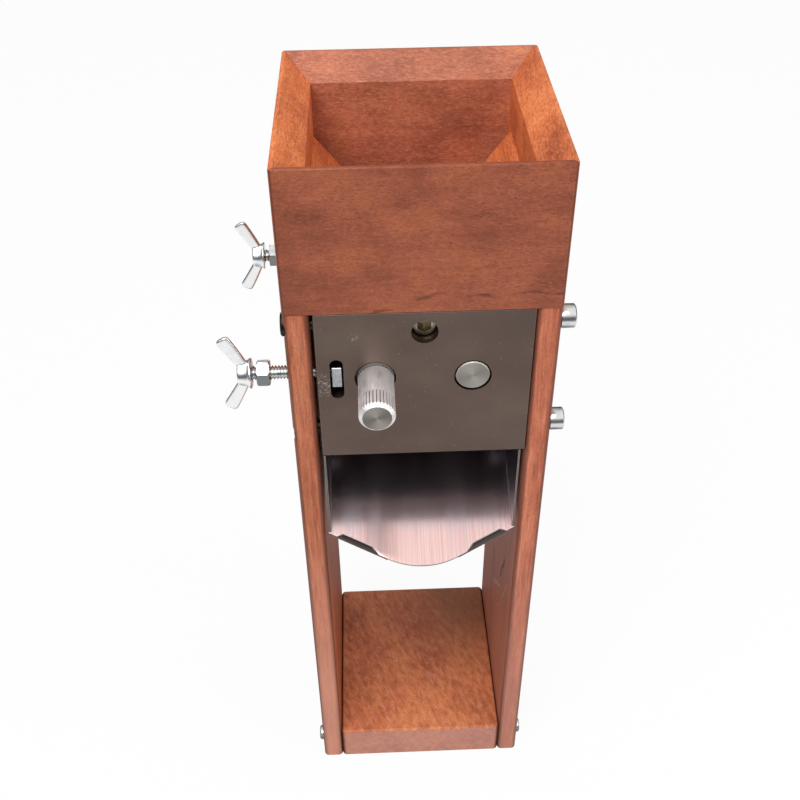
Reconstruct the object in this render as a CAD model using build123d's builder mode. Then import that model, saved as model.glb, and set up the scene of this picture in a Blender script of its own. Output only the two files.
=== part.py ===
from build123d import *
import os
from math import atan2, cos, hypot, radians, sin

# Hand crank grain flaker, in millimetres. +Z is up and the front is -Y.
# The origin lies on the table, at the middle of the two side boards.

# ---------------------------------------------------------------- wooden stand
board_thick = 10.5
board_gap = 90.0  # clear width between the side boards
board_depth = 103.0
board_height = 312.5
board_round = 2.4
base_thick = 23.0
base_round = 1.5
base_corner = 2.5

# ---------------------------------------------------------------------- hopper
hopper_height = 63.0
hopper_wall = 12.0
hopper_rim = 1.8  # flat top of each wall, outside its bevel
hopper_lip = 0.5  # how far the hopper's front stands out past the boards
hopper_overhang = 6.5  # how far its rear stands out behind them
hopper_corner = 1.5
hopper_edge = 0.8  # rounding of the rim's and foot's outer edges
dowel_radius = 3.0
dowel_length = 24.0
dowel_spread = 60.0  # between the two dowels of one board

guide_mouth = 27.0  # clear width between the guides, over the rollers
guide_nose = 4.5  # height of a guide's blunt lower edge
guide_lift = 1.9  # from the rollers' tops to the guides' undersides
guide_top = 32.0  # height of the guides inside the hopper
strip_top = 13.0  # height of the rear strip

# ------------------------------------------------------------------------ mill
plate_thick = 12.0
plate_play = 1.4  # between the left board and the plates, which lie against the right one
plate_height = 75.0
plate_edge = 0.4
axis_drop = 32.5  # from the plates' tops to the roller axes
roller_spacing = 40.0
roller_nip = 0.8  # gap between the rollers at rest
nip_opening = 1.0  # travel of the drive roller away from the idler
nip_closing = 0.5  # travel towards it
flute_count = 60
flute_depth = 0.8
flute_cutter = 1.2  # circumradius of the 60 degree cutter

drive_radius = 7.4  # of the crank's seat
drive_reach = 25.4  # how far the drive shaft stands out of the front plate
journal_radius = 7.5  # of the rest of the drive shaft
relief_width = 1.0  # groove between the journal and the seat, in front of the plate
relief_depth = 0.4
knurl_length = 8.0
knurl_depth = 0.45
knurl_count = 32
drive_chamfer = 1.5
drive_clear = 0.3  # between the drive shaft and its slotted hole
idler_radius = 7.0
idler_window = 7.8  # radius of the hole that shows the idler's end
idler_chamfer = 0.4
bush_radius = 10.0
bush_length = 9.0
thrust_radius = 11.0
thrust_thick = 0.8
running_clear = 0.05  # radial, between a journal and its bearing
side_clear = 0.3  # between neighbours that move past each other

block_width = 20.0
block_height = 24.0
block_depth = 8.0
block_fit = 0.1  # sliding clearance of a block in its pocket
block_edge = 0.5

tie_rise = 22.8  # tie rod above the roller axes
tie_radius = 4.5
tie_sink = 4.4  # its screws' heads lie this deep in the plates
tie_bite = 13.0

# ---------------------------------------------------------------- M6 hardware
m6_radius = 3.0
m6_head_radius = 5.0
m6_head = 6.0
m6_socket = 5.5
m6_socket_deep = 3.2
m6_nut_flats = 10.0
m6_nut = 5.2
m6_hole_clear = 0.3
m6_seat_clear = 0.5  # round a sunk head
head_chamfer = 0.5
nut_chamfer = 0.6

plate_screw_bite = 14.0  # length of each side screw inside its plate
upper_screw_drop = 8.0  # below the plates' tops
lower_screw_rise = 12.5  # above the plates' undersides
left_head_proud = (1.2, -0.4)  # of the upper and the lower screws

# --------------------------------------------------------------- gap adjusters
slot_x = 36.0  # left of the mill's middle
slot_length = 20.0
slot_width = 5.6
square_nut = 4.4  # thickness of the captive nut
nut_play = 0.2
dog_radius = 1.8
dog_gap = 0.05
stud_hole_clear = 0.5
jam_nut_out = 7.6  # from the left board to the jam nut
jam_nut_turn = 57.0  # degrees, which puts one flat to the front and one above it
wing_out = 15.0  # from the left board to the wing nut's base
wing_hub_base = 6.5
wing_hub_top = 5.0
wing_hub = 5.9
wing_root_out = 3.6  # middle of a wing's inner end: along the axis
wing_root_up = 5.6  # and across it
wing_tip_out = 10.1
wing_tip_up = 15.8
wing_broad = 5.6
wing_thick = 2.6
wing_edge = 0.9

# ----------------------------------------------------------------------- chute
sheet = 0.9
chute_side = 1.8  # between each board and the chute
chute_drop = 48.5  # from the plates' undersides to the chute's front edge
chute_rear_drop = 3.3  # and to its rear edge
chute_rear_inset = 1.5  # from the boards' rear edges
chute_play = 0.3
ear_length = 60.0
ear_height = 24.0
tongue_side = 0.5  # between each board and the tongue
tongue_apex = 22.0
tongue_round = 36.0
lip_inset = 2.4  # from the tongue's edge to the fold of each lip
lip_turn = 48.0  # degrees down from the tongue
lip_start = 3.5  # from the tongue's corner to the lip
lip_taper = 4.0  # how much shorter the fold is at the corner
lip_long_taper = 9.0  # and at the other end
lip_gap = 33.0  # bare middle of the tongue, without lips
spacer_radius = 4.5
chute_screw_radius = 2.0
chute_screw_spread = 40.0
chute_screw_rise = 14.5  # above the plates' undersides
chute_screw_bite = 7.0  # length of each screw inside its board
chute_head_radius = 3.8
chute_head = 2.2

# ----------------------------------------------------------------- base screws
base_screw_radius = 2.25
base_screw_length = 34.0
base_head_radius = 4.0
base_head = 2.3
base_screw_inset = 8.0  # from the boards' front and rear edges
pan_round = 1.2

# -------------------------------------------------------------- derived places
board_out = board_gap / 2 + board_thick
board_in = board_gap / 2
front_y = -board_depth / 2
hopper_width = 2 * board_out
hopper_depth = hopper_lip + board_depth + hopper_overhang
hopper_mid = front_y - hopper_lip + hopper_depth / 2
hopper_in_x = hopper_width / 2 - hopper_wall
hopper_in_rear = hopper_mid + hopper_depth / 2 - hopper_wall
hopper_bevel = hopper_wall - hopper_rim

plate_width = board_gap - plate_play
mill_x = plate_play / 2
plate_left = board_in - plate_width
plate_mid = front_y + plate_thick / 2
plate_inner = front_y + plate_thick
plate_bottom = board_height - plate_height
plate_gap = board_depth - 2 * plate_thick
axis_z = board_height - axis_drop
roller_radius = (roller_spacing - roller_nip) / 2
roller_length = plate_gap - 2 * (thrust_thick + side_clear)
drive_x = mill_x - roller_spacing / 2
idler_x = mill_x + roller_spacing / 2

pocket_width = block_width + nip_opening + nip_closing + 2 * block_fit
pocket_middle = -roller_spacing / 2 + (nip_closing - nip_opening) / 2
pocket_left = mill_x + pocket_middle - pocket_width / 2
nut_x = mill_x - slot_x
plate_screw_z = (board_height - upper_screw_drop, plate_bottom + lower_screw_rise)
ends = (-1, 1)

front_face = Plane((mill_x, front_y, axis_z), x_dir=(1, 0, 0), z_dir=(0, -1, 0))
inner_face = front_face.offset(-plate_thick)


def save(node, name):
    """Labels a finished piece and writes it."""
    node.part.label = name
    export_step(node.part, f"parts/{name}.step")


def seats(x, out, depths, heights):
    """Planes on the side at x that face out, at each depth (front and rear) and height."""
    return [
        Plane((x, end * y, z), x_dir=(0, 0, 1), z_dir=(out, 0, 0))
        for end in ends
        for y in depths
        for z in heights
    ]


def outer_edges(wall, across):
    """The straight and curved edges along the outside of a hopper wall's rim and foot."""
    edges = wall.edges()
    rims = edges.group_by(Axis.Z)[-1] + edges.group_by(Axis.Z)[0]
    outside = wall.faces().sort_by(across)[0].center().dot(across.direction)
    return [edge for edge in rims if (edge @ 0.5).dot(across.direction) < outside + hopper_corner / 2]


def socket_screw(length):
    """M6 socket head cap screw, its head's underside on the XY plane and its head up."""
    with BuildPart() as screw:
        Cylinder(m6_radius, length, align=(Align.CENTER, Align.CENTER, Align.MAX))
        Cylinder(m6_head_radius, m6_head, align=(Align.CENTER, Align.CENTER, Align.MIN))
        chamfer(screw.edges().sort_by(Axis.Z)[-1], head_chamfer)
        with BuildSketch(Plane.XY.offset(m6_head)):
            RegularPolygon(m6_socket / 2, 6, major_radius=False)
        extrude(amount=-m6_socket_deep, mode=Mode.SUBTRACT)
    return screw.part


def pan_screw(radius, length, head_radius, head):
    """Round headed screw, its head's underside on the XY plane and its head up."""
    with BuildPart() as screw:
        Cylinder(radius, length, align=(Align.CENTER, Align.CENTER, Align.MAX))
        Cylinder(head_radius, head, align=(Align.CENTER, Align.CENTER, Align.MIN))
        fillet(screw.edges().sort_by(Axis.Z)[-1], pan_round)
    return screw.part


def hex_nut(turn):
    """M6 hexagon nut on the XY plane, its corners turned by an angle."""
    with BuildPart() as nut:
        Cylinder(
            m6_nut_flats / 2 / cos(radians(30)),
            m6_nut,
            align=(Align.CENTER, Align.CENTER, Align.MIN),
        )
        chamfer(nut.edges().filter_by(GeomType.CIRCLE), nut_chamfer)
        with BuildSketch():
            RegularPolygon(m6_nut_flats / 2, 6, major_radius=False, rotation=turn)
        extrude(amount=m6_nut, mode=Mode.INTERSECT)
        Cylinder(m6_radius, 3 * m6_nut, mode=Mode.SUBTRACT)
    return nut.part


def roller(bore):
    """Fluted roller on its own axis, centred on the XY plane."""
    with BuildPart() as drum:
        with BuildSketch(Plane.XY.offset(-roller_length / 2)):
            Circle(roller_radius)
            with PolarLocations(roller_radius - flute_depth + flute_cutter, flute_count):
                RegularPolygon(flute_cutter, 3, rotation=180, mode=Mode.SUBTRACT)
            Circle(bore, mode=Mode.SUBTRACT)
        extrude(amount=roller_length)
    return drum.part


def ring(outer, bore, thick):
    """Flat ring standing on the XY plane."""
    with BuildPart() as disc:
        with BuildSketch():
            Circle(outer)
            Circle(bore, mode=Mode.SUBTRACT)
        extrude(amount=thick)
    return disc.part


os.makedirs("parts", exist_ok=True)

adjuster_seats = seats(-board_out, -1, [plate_mid], [axis_z])
right_seats = seats(board_out, 1, [plate_mid], plate_screw_z)
base_y = front_y + base_screw_inset
base_left_seats = seats(-board_out, -1, [base_y], [base_thick / 2])
base_right_seats = seats(board_out, 1, [base_y], [base_thick / 2])
ear_z = plate_bottom + chute_screw_rise
ear_y = chute_screw_spread / 2
dowel_spots = [
    (side * (board_in + board_thick / 2), end * dowel_spread / 2, board_height)
    for side in ends
    for end in ends
]

# ================================================================= side boards
with BuildPart() as left_board:
    with BuildSketch(Plane.YZ.offset(-board_out)):
        with Locations((0, board_height / 2)):
            Rectangle(board_depth, board_height)
    extrude(amount=board_thick)
    fillet(left_board.edges().filter_by(Axis.Z), board_round)
    with Locations(adjuster_seats):
        Hole(m6_radius + stud_hole_clear, board_thick)
    for seat_z, proud in zip(plate_screw_z, left_head_proud):
        with Locations(seats(-board_out, -1, [plate_mid], [seat_z])):
            CounterBoreHole(
                m6_radius + m6_hole_clear,
                m6_head_radius + m6_seat_clear,
                m6_head - proud,
                board_thick,
            )
    with Locations(base_left_seats):
        Hole(base_screw_radius, board_thick)
    with Locations(seats(-board_in, 1, [ear_y], [ear_z])):
        Hole(chute_screw_radius, chute_screw_bite)
    with Locations(dowel_spots):
        Hole(dowel_radius, dowel_length / 2)
save(left_board, "left_board")

with BuildPart() as right_board:
    with BuildSketch(Plane.YZ.offset(board_in)):
        with Locations((0, board_height / 2)):
            Rectangle(board_depth, board_height)
    extrude(amount=board_thick)
    fillet(right_board.edges().filter_by(Axis.Z), board_round)
    with Locations(right_seats):
        Hole(m6_radius + m6_hole_clear, board_thick)
    with Locations(base_right_seats):
        Hole(base_screw_radius, board_thick)
    with Locations(seats(board_in, -1, [ear_y], [ear_z])):
        Hole(chute_screw_radius, chute_screw_bite)
    with Locations(dowel_spots):
        Hole(dowel_radius, dowel_length / 2)
save(right_board, "right_board")

with BuildPart() as base_board:
    with BuildSketch():
        RectangleRounded(board_gap, board_depth, base_corner)
    extrude(amount=base_thick)
    fillet(base_board.faces().sort_by(Axis.Z)[-1].edges(), base_round)
    with Locations(base_left_seats + base_right_seats):
        Hole(base_screw_radius, base_screw_length)
save(base_board, "base_board")

with BuildPart() as base_screws:
    with Locations(base_left_seats + base_right_seats):
        add(pan_screw(base_screw_radius, base_screw_length, base_head_radius, base_head))
save(base_screws, "base_screws")

# ====================================================================== hopper
# Four mitred boards. Each plan is a trapezoid, cut by the hopper's rounded outline.
corner_out = (hopper_width / 2, hopper_depth / 2)
corner_in = (hopper_in_x, hopper_depth / 2 - hopper_wall)
long_plan = [
    (-corner_out[0], -corner_out[1]),
    (corner_out[0], -corner_out[1]),
    (corner_in[0], -corner_in[1]),
    (-corner_in[0], -corner_in[1]),
]
side_plan = [
    (-corner_out[0], -corner_out[1]),
    (-corner_in[0], -corner_in[1]),
    (-corner_in[0], corner_in[1]),
    (-corner_out[0], corner_out[1]),
]
hopper_floor = Plane((0, hopper_mid, board_height))

with BuildPart() as hopper_front:
    with BuildSketch(hopper_floor):
        Polygon(long_plan)
        RectangleRounded(hopper_width, hopper_depth, hopper_corner, mode=Mode.INTERSECT)
    extrude(amount=hopper_height)
    top_edges = hopper_front.edges().group_by(Axis.Z)[-1].filter_by(Axis.X)
    chamfer(top_edges.sort_by(Axis.Y)[-1], hopper_bevel)
    fillet(outer_edges(hopper_front, Axis.Y), hopper_edge)
save(hopper_front, "hopper_front")

with BuildPart() as hopper_rear:
    mirror(hopper_front.part, about=Plane.XZ.offset(-hopper_mid))
save(hopper_rear, "hopper_rear")

with BuildPart() as hopper_left:
    with BuildSketch(hopper_floor):
        Polygon(side_plan)
        RectangleRounded(hopper_width, hopper_depth, hopper_corner, mode=Mode.INTERSECT)
    extrude(amount=hopper_height)
    top_edges = hopper_left.edges().group_by(Axis.Z)[-1].filter_by(Axis.Y)
    chamfer(top_edges.sort_by(Axis.X)[-1], hopper_bevel)
    fillet(outer_edges(hopper_left, Axis.X), hopper_edge)
    with Locations(dowel_spots):
        Cylinder(dowel_radius, dowel_length, mode=Mode.SUBTRACT)
save(hopper_left, "hopper_left")

with BuildPart() as hopper_right:
    mirror(hopper_left.part, about=Plane.YZ)
save(hopper_right, "hopper_right")

with BuildPart() as hopper_dowels:
    with Locations(dowel_spots):
        Cylinder(dowel_radius, dowel_length)
save(hopper_dowels, "hopper_dowels")

# The guides are wedges on the hopper's side walls that slope down to the mouth.
guide_under = axis_z + roller_radius + guide_lift
guide_length = plate_gap - 2 * side_clear
for side, name in ((-1, "feed_guide_left"), (1, "feed_guide_right")):
    wall = side * hopper_in_x
    nose = mill_x + side * guide_mouth / 2
    with BuildPart() as feed_guide:
        with BuildSketch(Plane.XZ.offset(-guide_length / 2)):
            Polygon(
                (wall, guide_under),
                (nose, guide_under),
                (nose, guide_under + guide_nose),
                (wall, board_height + guide_top),
            )
        extrude(amount=guide_length)
    save(feed_guide, name)

with BuildPart() as feed_guide_rear:
    with BuildSketch(Plane.YZ.offset(-hopper_in_x)):
        Polygon(
            (-plate_inner, board_height),
            (hopper_in_rear, board_height),
            (hopper_in_rear, board_height + strip_top),
        )
    extrude(amount=2 * hopper_in_x)
save(feed_guide_rear, "feed_guide_rear")

# ================================================================= mill plates
tie_seat = m6_head + tie_sink
with BuildPart() as front_plate:
    with BuildSketch(front_face):
        with Locations((0, axis_drop - plate_height / 2)):
            Rectangle(plate_width, plate_height)
    extrude(amount=-plate_thick)
    chamfer(front_plate.faces().sort_by(Axis.Y)[0].edges(), plate_edge)
    # window and bush seat of the idler
    with BuildSketch(front_face):
        with Locations((roller_spacing / 2, 0)):
            Circle(idler_window)
    extrude(amount=-plate_thick, mode=Mode.SUBTRACT)
    with BuildSketch(inner_face):
        with Locations((roller_spacing / 2, 0)):
            Circle(bush_radius)
    extrude(amount=bush_length, mode=Mode.SUBTRACT)
    # slotted hole of the drive shaft, and the bearing block's pocket behind it
    with BuildSketch(front_face):
        with Locations((pocket_middle, 0)):
            SlotCenterToCenter(nip_opening + nip_closing, 2 * (journal_radius + drive_clear))
    extrude(amount=-plate_thick, mode=Mode.SUBTRACT)
    with BuildSketch(inner_face):
        with Locations((pocket_middle, 0)):
            Rectangle(pocket_width, block_height + 2 * block_fit)
    extrude(amount=block_depth + block_fit, mode=Mode.SUBTRACT)
    # slot of the captive nut, blind so that its floor keeps the nut from turning
    with BuildSketch(front_face):
        with Locations((-slot_x, 0)):
            SlotOverall(slot_length, slot_width, rotation=90)
    extrude(amount=-(plate_thick + m6_nut_flats) / 2 - nut_play, mode=Mode.SUBTRACT)
    # way of the adjuster stud through the left edge
    with BuildSketch(Plane.YZ.offset(plate_left)):
        with Locations((plate_mid, axis_z)):
            Circle(m6_radius + m6_hole_clear)
    extrude(amount=pocket_left - plate_left, mode=Mode.SUBTRACT)
    # tapped holes of the side screws
    for edge_x, inward in ((plate_left, 1), (board_in, -1)):
        with BuildSketch(Plane.YZ.offset(edge_x)):
            with Locations([(plate_mid, z) for z in plate_screw_z]):
                Circle(m6_radius)
        extrude(amount=inward * (plate_screw_bite + side_clear), mode=Mode.SUBTRACT)
    # counterbored hole of the tie rod's screw
    with Locations(Plane((mill_x, front_y, axis_z + tie_rise), z_dir=(0, -1, 0))):
        CounterBoreHole(
            m6_radius + m6_hole_clear, m6_head_radius + m6_seat_clear, tie_seat, plate_thick
        )
save(front_plate, "front_plate")

with BuildPart() as rear_plate:
    mirror(front_plate.part, about=Plane.XZ)
save(rear_plate, "rear_plate")

with BuildPart() as tie_rod:
    with BuildSketch(inner_face):
        with Locations((0, tie_rise)):
            Circle(tie_radius)
            Circle(m6_radius, mode=Mode.SUBTRACT)
    extrude(amount=-plate_gap)
save(tie_rod, "tie_rod")

tie_depth = -front_y - tie_seat
tie_seats = [
    Plane((mill_x, end * tie_depth, axis_z + tie_rise), z_dir=(0, end, 0)) for end in ends
]
with BuildPart() as tie_rod_screws:
    with Locations(tie_seats):
        add(socket_screw(plate_thick - tie_seat + tie_bite))
save(tie_rod_screws, "tie_rod_screws")

# ============================================= screws through the side boards
with BuildPart() as right_plate_screws:
    with Locations(right_seats):
        add(socket_screw(board_thick + plate_screw_bite))
save(right_plate_screws, "right_plate_screws")

with BuildPart() as left_plate_screws:
    for seat_z, proud in zip(plate_screw_z, left_head_proud):
        under_head = -board_out + m6_head - proud
        with Locations(seats(under_head, -1, [plate_mid], [seat_z])):
            add(socket_screw(plate_left - under_head + plate_screw_bite))
save(left_plate_screws, "left_plate_screws")

# ===================================================================== rollers
idler_line = Plane((idler_x, 0, axis_z), x_dir=(1, 0, 0), z_dir=(0, -1, 0))
drive_line = Plane((drive_x, 0, axis_z), x_dir=(1, 0, 0), z_dir=(0, -1, 0))

with BuildPart() as idler_roller:
    with Locations(idler_line):
        add(roller(idler_radius))
save(idler_roller, "idler_roller")

with BuildPart() as idler_shaft:
    with BuildSketch(idler_line.offset(-board_depth / 2)):
        Circle(idler_radius)
    extrude(amount=board_depth)
    chamfer(idler_shaft.edges().filter_by(GeomType.CIRCLE), idler_chamfer)
save(idler_shaft, "idler_shaft")

with BuildPart() as idler_bushes:
    with BuildSketch(inner_face):
        with Locations((roller_spacing / 2, 0)):
            Circle(bush_radius)
            Circle(idler_radius + running_clear, mode=Mode.SUBTRACT)
    extrude(amount=bush_length)
    mirror(about=Plane.XZ)
save(idler_bushes, "idler_bushes")

with BuildPart() as drive_roller:
    with Locations(drive_line):
        add(roller(journal_radius))
save(drive_roller, "drive_roller")

shaft_front = drive_line.offset(board_depth / 2 + drive_reach)
with BuildPart() as drive_shaft:
    with BuildSketch(drive_line.offset(board_depth / 2)):
        Circle(journal_radius)
    extrude(amount=-board_depth)
    with BuildSketch(shaft_front):
        Circle(drive_radius - relief_depth)
    extrude(amount=-drive_reach)
    with BuildSketch(shaft_front):
        Circle(drive_radius)
    extrude(amount=relief_width - drive_reach)
    chamfer(drive_shaft.edges().sort_by(Axis.Y)[0], drive_chamfer)
    chamfer(drive_shaft.edges().sort_by(Axis.Y)[-1], idler_chamfer)
    with BuildSketch(shaft_front):
        with PolarLocations(drive_radius - knurl_depth + flute_cutter, knurl_count):
            RegularPolygon(flute_cutter, 3, rotation=180)
    extrude(amount=-(knurl_length + drive_chamfer), mode=Mode.SUBTRACT)
save(drive_shaft, "drive_shaft")

for line, bore, name in (
    (idler_line, idler_radius, "idler_thrust_washers"),
    (drive_line, journal_radius, "drive_thrust_washers"),
):
    with BuildPart() as thrust_washers:
        with Locations(line.offset(roller_length / 2)):
            add(ring(thrust_radius, bore, thrust_thick))
        mirror(about=Plane.XZ)
    save(thrust_washers, name)

# ======================================== bearing blocks and gap adjusters
block_left = drive_x - block_width / 2
left_axis = Plane((-board_out, plate_mid, axis_z), x_dir=(0, 0, 1), z_dir=(-1, 0, 0))

with BuildPart() as bearing_block_front:
    with BuildSketch(inner_face):
        with Locations((-roller_spacing / 2, 0)):
            Rectangle(block_width, block_height)
    extrude(amount=block_depth)
    chamfer(bearing_block_front.edges().filter_by(Axis.Y), block_edge)
    with BuildSketch(inner_face):
        with Locations((-roller_spacing / 2, 0)):
            Circle(journal_radius + running_clear)
    extrude(amount=block_depth, mode=Mode.SUBTRACT)

with BuildPart() as captive_nut_front:
    with Locations((nut_x, plate_mid, axis_z)):
        Box(square_nut, m6_nut_flats, m6_nut_flats)
    chamfer(captive_nut_front.edges(), nut_chamfer / 2)
    with Locations(left_axis):
        Cylinder(m6_radius + running_clear, 2 * board_gap, mode=Mode.SUBTRACT)

# The thread ends at the captive nut's far face and a thin dog goes on to the block.
thread_end = -board_out - nut_x - square_nut / 2
dog_end = -board_out - block_left + dog_gap
with BuildPart() as adjuster_stud_front:
    with BuildSketch(left_axis.offset(thread_end)):
        Circle(m6_radius)
    extrude(amount=wing_out + wing_hub - thread_end)
    chamfer(adjuster_stud_front.edges().filter_by(GeomType.CIRCLE), head_chamfer)
    with BuildSketch(left_axis.offset(dog_end)):
        Circle(dog_radius)
    extrude(amount=thread_end - dog_end)

with BuildPart() as jam_nut_front:
    with Locations(left_axis.offset(jam_nut_out)):
        add(hex_nut(jam_nut_turn))

# A wing is a flat bar with round ends, splayed out from the hub.
wing_run = Vector(wing_tip_up - wing_root_up, wing_tip_out - wing_root_out)
with BuildPart() as wing:
    with BuildSketch(Plane.XZ.offset(-wing_thick / 2)):
        with Locations(((wing_root_up + wing_tip_up) / 2, (wing_root_out + wing_tip_out) / 2)):
            SlotCenterToCenter(
                wing_run.length, wing_broad, rotation=wing_run.get_angle(Vector(1, 0))
            )
    extrude(amount=wing_thick)
    fillet(wing.edges(), wing_edge)

with BuildPart() as wing_nut_front:
    with Locations(left_axis.offset(wing_out)):
        Cone(
            wing_hub_base,
            wing_hub_top,
            wing_hub,
            align=(Align.CENTER, Align.CENTER, Align.MIN),
        )
        add(wing.part)
        add(wing.part.rotate(Axis.Z, 180))
        Cylinder(m6_radius, 4 * wing_hub, mode=Mode.SUBTRACT)

for front, name in (
    (bearing_block_front, "bearing_block"),
    (captive_nut_front, "captive_nut"),
    (adjuster_stud_front, "adjuster_stud"),
    (jam_nut_front, "jam_nut"),
    (wing_nut_front, "wing_nut"),
):
    save(front, f"{name}_front")
    with BuildPart() as rear:
        mirror(front.part, about=Plane.XZ)
    save(rear, f"{name}_rear")

# ======================================================================= chute
# The floor's plane starts at the front edge and climbs to the rear.
chute_width = board_gap - 2 * chute_side
tongue_width = board_gap - 2 * tongue_side
chute_z = plate_bottom - chute_drop
chute_rear = -front_y - chute_rear_inset
chute_rise = chute_drop - chute_rear_drop
slope = atan2(chute_rise, chute_rear - front_y)
chute_floor = Plane((0, front_y, chute_z), x_dir=(1, 0, 0), z_dir=(0, -sin(slope), cos(slope)))
floor_run = (chute_rear - front_y) / cos(slope)
chute_top = plate_bottom - chute_play
tongue_corner = (tongue_width / 2, 0)
tongue = [tongue_corner, (0, -tongue_apex), (-tongue_corner[0], 0)]
flange_foot = chute_z - sheet / cos(slope)

# Along each straight edge of the tongue a strip is turned down. Its fold lies inside the edge and
# is parallel to it, and its outer edge stays under the tongue's outline.
edge_run = hypot(tongue_corner[0], tongue_apex)
along = (-tongue_corner[0] / edge_run, -tongue_apex / edge_run)
outward = (-along[1], along[0])
lip_end = (tongue_corner[0] - lip_gap / 2) / -along[0]
turn = radians(lip_turn)
lip_fold = (tongue_corner[0] - lip_inset * outward[0], -lip_inset * outward[1])
lip_face = (outward[0] * sin(turn), outward[1] * sin(turn), cos(turn))


def lip_outline(reach):
    """Strip from the fold out to a reach, its ends slanted."""
    return [
        (lip_start + lip_taper, 0),
        (lip_end - lip_long_taper, 0),
        (lip_end, reach),
        (lip_start, reach),
    ]


def on_floor(direction):
    """A direction of the chute's floor in the part's own frame."""
    return chute_floor.from_local_coords(Vector(*direction)) - chute_floor.origin


lip_flat = Plane(
    chute_floor.from_local_coords(lip_fold), x_dir=on_floor(along), z_dir=on_floor((0, 0, 1))
)
lip_plane = Plane(
    chute_floor.from_local_coords(lip_fold), x_dir=on_floor(along), z_dir=on_floor(lip_face)
)
with BuildPart() as lip:
    with BuildSketch(lip_plane):
        Polygon(lip_outline(lip_inset / cos(turn)))
    extrude(amount=-sheet)
with BuildPart() as lip_notch:
    with BuildSketch(lip_flat.offset(sheet)):
        Polygon(lip_outline(2 * lip_inset))
    extrude(amount=-3 * sheet)

with BuildPart() as chute:
    with BuildSketch(chute_floor):
        with Locations((0, floor_run / 2)):
            Rectangle(chute_width, floor_run)
        Polygon(tongue)
        fillet(vertices().sort_by(Axis.Y)[0], tongue_round)
    extrude(amount=-sheet)
    for flange_x, inward in ((-chute_width / 2, 1), (chute_width / 2, -1)):
        with BuildSketch(Plane.YZ.offset(flange_x)):
            Polygon(
                (front_y, flange_foot),
                (chute_rear, flange_foot + chute_rise),
                (chute_rear, chute_top),
                (front_y, chute_top),
            )
            with Locations((0, chute_top + ear_height / 2)):
                Rectangle(ear_length, ear_height)
        extrude(amount=inward * sheet)
    add(lip_notch.part, mode=Mode.SUBTRACT)
    add(lip_notch.part.mirror(Plane.YZ), mode=Mode.SUBTRACT)
    add(lip.part)
    add(lip.part.mirror(Plane.YZ))
    with Locations(seats(-chute_width / 2 + sheet, 1, [ear_y], [ear_z])):
        Hole(chute_screw_radius, sheet)
    with Locations(seats(chute_width / 2 - sheet, -1, [ear_y], [ear_z])):
        Hole(chute_screw_radius, sheet)
save(chute, "chute")

with BuildPart() as chute_spacers:
    with Locations(seats(-board_in, 1, [ear_y], [ear_z]) + seats(board_in, -1, [ear_y], [ear_z])):
        add(ring(spacer_radius, chute_screw_radius, chute_side))
save(chute_spacers, "chute_spacers")

head_x = chute_width / 2 - sheet
head_seat = sheet + chute_side + chute_screw_bite
with BuildPart() as chute_screws:
    with Locations(seats(-head_x, 1, [ear_y], [ear_z]) + seats(head_x, -1, [ear_y], [ear_z])):
        add(pan_screw(chute_screw_radius, head_seat, chute_head_radius, chute_head))
save(chute_screws, "chute_screws")
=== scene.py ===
"""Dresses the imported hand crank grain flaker: oiled hardwood stand and hopper, blackened mill
plates, turned shafts, zinc plated screws and wing nuts, and a brushed sheet chute."""

import math
from functools import partial

import bpy
import numpy as np
from mathutils import Matrix, Vector


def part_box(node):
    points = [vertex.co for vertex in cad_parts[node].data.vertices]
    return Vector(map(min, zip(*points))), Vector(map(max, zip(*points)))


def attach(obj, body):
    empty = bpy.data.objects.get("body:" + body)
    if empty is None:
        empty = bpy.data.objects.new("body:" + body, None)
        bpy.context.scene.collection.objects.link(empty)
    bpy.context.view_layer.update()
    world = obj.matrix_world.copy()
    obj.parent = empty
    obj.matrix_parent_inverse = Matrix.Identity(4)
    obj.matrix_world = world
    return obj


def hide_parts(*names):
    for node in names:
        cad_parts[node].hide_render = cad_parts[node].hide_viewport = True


bl_info = {
    "name": "Hand crank grain flaker",
    "version": (1, 0, 0),
    "blender": (4, 5, 0),
    "location": "3D View > Sidebar > Flaker",
    "description": "Finishes a wooden grain flaker around its packed solids",
    "category": "Object",
}

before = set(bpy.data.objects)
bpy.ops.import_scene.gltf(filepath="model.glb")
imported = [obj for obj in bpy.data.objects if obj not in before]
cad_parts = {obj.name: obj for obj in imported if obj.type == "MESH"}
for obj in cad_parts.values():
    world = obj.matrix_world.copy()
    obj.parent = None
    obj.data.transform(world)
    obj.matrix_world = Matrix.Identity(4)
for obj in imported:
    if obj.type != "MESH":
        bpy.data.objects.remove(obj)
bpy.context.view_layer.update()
MM = 0.001
TURN = 2 * math.pi
# how a pattern whose length lies along x is turned to lie along another axis
ALONG = {"X": (0, 0, 0), "Y": (0, 0, -math.pi / 2), "Z": (0, math.pi / 2, 0)}


# ------------------------------------------------------------------ small helpers
def linear(colour):
    """An sRGB hex colour as linear red, green and blue, with an alpha of one."""
    parts = [int(colour[i : i + 2], 16) / 255 for i in (1, 3, 5)]
    return (*[p / 12.92 if p <= 0.04045 else ((p + 0.055) / 1.055) ** 2.4 for p in parts], 1.0)


def add(tree, kind, inputs=(), output=0, **settings):
    """Adds a node of a kind, sets its properties, and fills its inputs, in order or by number or
    name, from values or from other sockets. Gives one of its outputs, or the node for None."""
    made = tree.nodes.new(f"ShaderNode{kind}")
    for name, value in settings.items():
        setattr(made, name, value)
    for name, value in inputs.items() if isinstance(inputs, dict) else enumerate(inputs):
        if isinstance(value, bpy.types.NodeSocket):
            tree.links.new(value, made.inputs[name])
        else:
            made.inputs[name].default_value = value
    return made if output is None else made.outputs[output]


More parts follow.
